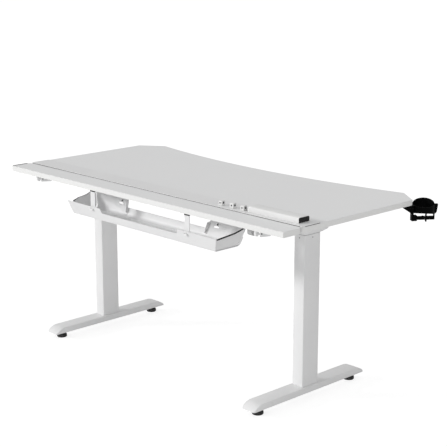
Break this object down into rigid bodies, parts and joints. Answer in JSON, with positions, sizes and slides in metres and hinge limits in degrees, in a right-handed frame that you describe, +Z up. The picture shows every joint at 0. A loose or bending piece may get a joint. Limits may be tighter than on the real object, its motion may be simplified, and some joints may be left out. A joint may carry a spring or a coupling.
{
  "type": "height-adjustable desk",
  "caption": "Electric sit-stand desk with twin telescoping columns, concave user edge, flip-up rear cable flap, cable tray, cable clips and cover, and a corner cup holder.",
  "frame": {"origin": "on the floor, under the middle of the bounding box", "axes": "+Z up; +X to the seated user's right, along the length of the top; +Y from the user to the rear flap edge"},
  "size_m": [1.6564, 0.8074, 0.7646],
  "materials": {
    "button_down": "satin white",
    "button_up": "satin white",
    "cable_clip_1": "satin white",
    "cable_clip_2": "satin white",
    "cable_clip_3": "satin white",
    "cable_cover": "satin white",
    "cable_tray": "fine-textured white powder coat",
    "column_inner_left": "fine-textured white powder coat",
    "column_inner_right": "fine-textured white powder coat",
    "column_outer_left": "fine-textured white powder coat",
    "column_outer_right": "fine-textured white powder coat",
    "control_box": "matt black",
    "crossbar_front": "fine-textured white powder coat",
    "crossbar_rear": "fine-textured white powder coat",
    "cup_holder": "matt black",
    "desk_top": "white melamine-faced board, satin",
    "flap_catch": "satin grey",
    "flap_hinge_arm_left": "fine-textured white powder coat",
    "flap_hinge_arm_right": "fine-textured white powder coat",
    "flap_hinge_body_left": "fine-textured white powder coat",
    "flap_hinge_body_right": "fine-textured white powder coat",
    "flap_rest_left": "fine-textured white powder coat",
    "flap_rest_pad_left": "matt black",
    "flap_rest_pad_right": "matt black",
    "flap_rest_right": "fine-textured white powder coat",
    "foot_left": "fine-textured white powder coat",
    "foot_plate_left": "zinc plated",
    "foot_plate_right": "zinc plated",
    "foot_right": "fine-textured white powder coat",
    "gear_housing_left": "fine-textured white powder coat",
    "gear_housing_right": "fine-textured white powder coat",
    "glide_collar_left": "satin grey",
    "glide_collar_right": "satin grey",
    "handset": "matt black",
    "handset_cable": "matt black",
    "levelling_foot_front_left": "matt black",
    "levelling_foot_front_right": "matt black",
    "levelling_foot_rear_left": "matt black",
    "levelling_foot_rear_right": "matt black",
    "magnetic_strip": "fine-textured white powder coat",
    "motor_cable_left": "matt black",
    "motor_cable_right": "matt black",
    "motor_left": "plain",
    "motor_right": "plain",
    "motor_shaft_left": "plain",
    "motor_shaft_right": "plain",
    "nut_tube_left": "zinc plated",
    "nut_tube_right": "zinc plated",
    "rear_flap": "white melamine-faced board, satin",
    "side_bracket_left": "fine-textured white powder coat",
    "side_bracket_right": "fine-textured white powder coat",
    "spindle_left": "plain",
    "spindle_right": "plain",
    "tray_edge_trim_left": "matt black",
    "tray_edge_trim_right": "matt black",
    "tray_end_left": "fine-textured white powder coat",
    "tray_end_right": "fine-textured white powder coat",
    "tray_hanger_left": "fine-textured white powder coat",
    "tray_hanger_right": "fine-textured white powder coat"
  },
  "bodies": {
    "base": {"column_outer_left": "column_outer_left", "column_outer_right": "column_outer_right", "foot_left": "foot_left", "foot_plate_left": "foot_plate_left", "foot_plate_right": "foot_plate_right", "foot_right": "foot_right", "glide_collar_left": "glide_collar_left", "glide_collar_right": "glide_collar_right", "nut_tube_left": "nut_tube_left", "nut_tube_right": "nut_tube_right"},
    "lift": {"cable_clip_1": "cable_clip_1", "cable_clip_2": "cable_clip_2", "cable_clip_3": "cable_clip_3", "cable_cover": "cable_cover", "cable_tray": "cable_tray", "column_inner_left": "column_inner_left", "column_inner_right": "column_inner_right", "control_box": "control_box", "crossbar_front": "crossbar_front", "crossbar_rear": "crossbar_rear", "cup_holder": "cup_holder", "desk_top": "desk_top", "flap_hinge_body_left": "flap_hinge_body_left", "flap_hinge_body_right": "flap_hinge_body_right", "flap_rest_left": "flap_rest_left", "flap_rest_pad_left": "flap_rest_pad_left", "flap_rest_pad_right": "flap_rest_pad_right", "flap_rest_right": "flap_rest_right", "gear_housing_left": "gear_housing_left", "gear_housing_right": "gear_housing_right", "handset": "handset", "handset_cable": "handset_cable", "magnetic_strip": "magnetic_strip", "motor_cable_left": "motor_cable_left", "motor_cable_right": "motor_cable_right", "motor_left": "motor_left", "motor_right": "motor_right", "side_bracket_left": "side_bracket_left", "side_bracket_right": "side_bracket_right", "tray_edge_trim_left": "tray_edge_trim_left", "tray_edge_trim_right": "tray_edge_trim_right", "tray_end_left": "tray_end_left", "tray_end_right": "tray_end_right", "tray_hanger_left": "tray_hanger_left", "tray_hanger_right": "tray_hanger_right"},
    "levelling_front_left": {"levelling_foot_front_left": "levelling_foot_front_left"},
    "levelling_front_right": {"levelling_foot_front_right": "levelling_foot_front_right"},
    "levelling_rear_left": {"levelling_foot_rear_left": "levelling_foot_rear_left"},
    "levelling_rear_right": {"levelling_foot_rear_right": "levelling_foot_rear_right"},
    "spindle_left": {"spindle_left": "spindle_left"},
    "spindle_right": {"spindle_right": "spindle_right"},
    "motor_shaft_left": {"motor_shaft_left": "motor_shaft_left"},
    "motor_shaft_right": {"motor_shaft_right": "motor_shaft_right"},
    "flap": {"rear_flap": "rear_flap", "flap_hinge_arm_left": "flap_hinge_arm_left", "flap_hinge_arm_right": "flap_hinge_arm_right", "flap_catch": "flap_catch"},
    "button_up": {"button_up": "button_up"},
    "button_down": {"button_down": "button_down"}
  },
  "joints": [
    {"name": "desk_lift", "type": "slide", "parent": "base", "child": "lift", "axis": [0, 0, 1], "range_m": [0, 0.45]},
    {"name": "spindle_turn_left", "type": "hinge", "parent": "lift", "child": "spindle_left", "pos_m": [-0.57175, 0.05968, 0.6905], "axis": [0, 0, 1], "range_deg": [-5, 27010]},
    {"name": "motor_turn_left", "type": "hinge", "parent": "lift", "child": "motor_shaft_left", "pos_m": [-0.57175, 0.05968, 0.6905], "axis": [0, -1, 0], "range_deg": [-5, 50650]},
    {"name": "spindle_turn_right", "type": "hinge", "parent": "lift", "child": "spindle_right", "pos_m": [0.62825, 0.05968, 0.6905], "axis": [0, 0, 1], "range_deg": [-5, 27010]},
    {"name": "motor_turn_right", "type": "hinge", "parent": "lift", "child": "motor_shaft_right", "pos_m": [0.62825, 0.05968, 0.6905], "axis": [0, -1, 0], "range_deg": [-5, 50650]},
    {"name": "flap_hinge", "type": "hinge", "parent": "lift", "child": "flap", "pos_m": [0.02825, 0.30668, 0.742], "axis": [1, 0, 0], "range_deg": [0, 90]},
    {"name": "press_up", "type": "slide", "parent": "lift", "child": "button_up", "axis": [0, 1, 0], "range_m": [0, 0.001]},
    {"name": "press_down", "type": "slide", "parent": "lift", "child": "button_down", "axis": [0, 1, 0], "range_m": [0, 0.001]},
    {"name": "level_front_left", "type": "hinge", "parent": "base", "child": "levelling_front_left", "pos_m": [-0.57175, -0.19732, 0], "axis": [0, 0, 1], "range_deg": [0, 2880]},
    {"name": "level_front_right", "type": "hinge", "parent": "base", "child": "levelling_front_right", "pos_m": [0.62825, -0.19732, 0], "axis": [0, 0, 1], "range_deg": [0, 2880]},
    {"name": "level_rear_left", "type": "hinge", "parent": "base", "child": "levelling_rear_left", "pos_m": [-0.57175, 0.31668, 0], "axis": [0, 0, 1], "range_deg": [0, 2880]},
    {"name": "level_rear_right", "type": "hinge", "parent": "base", "child": "levelling_rear_right", "pos_m": [0.62825, 0.31668, 0], "axis": [0, 0, 1], "range_deg": [0, 2880]}
  ],
  "couplings": [
    {"joint": "spindle_turn_left", "follows": "desk_lift", "rad_per_m": 1047.2},
    {"joint": "motor_turn_left", "follows": "desk_lift", "rad_per_m": 1963.5},
    {"joint": "spindle_turn_right", "follows": "desk_lift", "rad_per_m": 1047.2},
    {"joint": "motor_turn_right", "follows": "desk_lift", "rad_per_m": 1963.5}
  ]
}
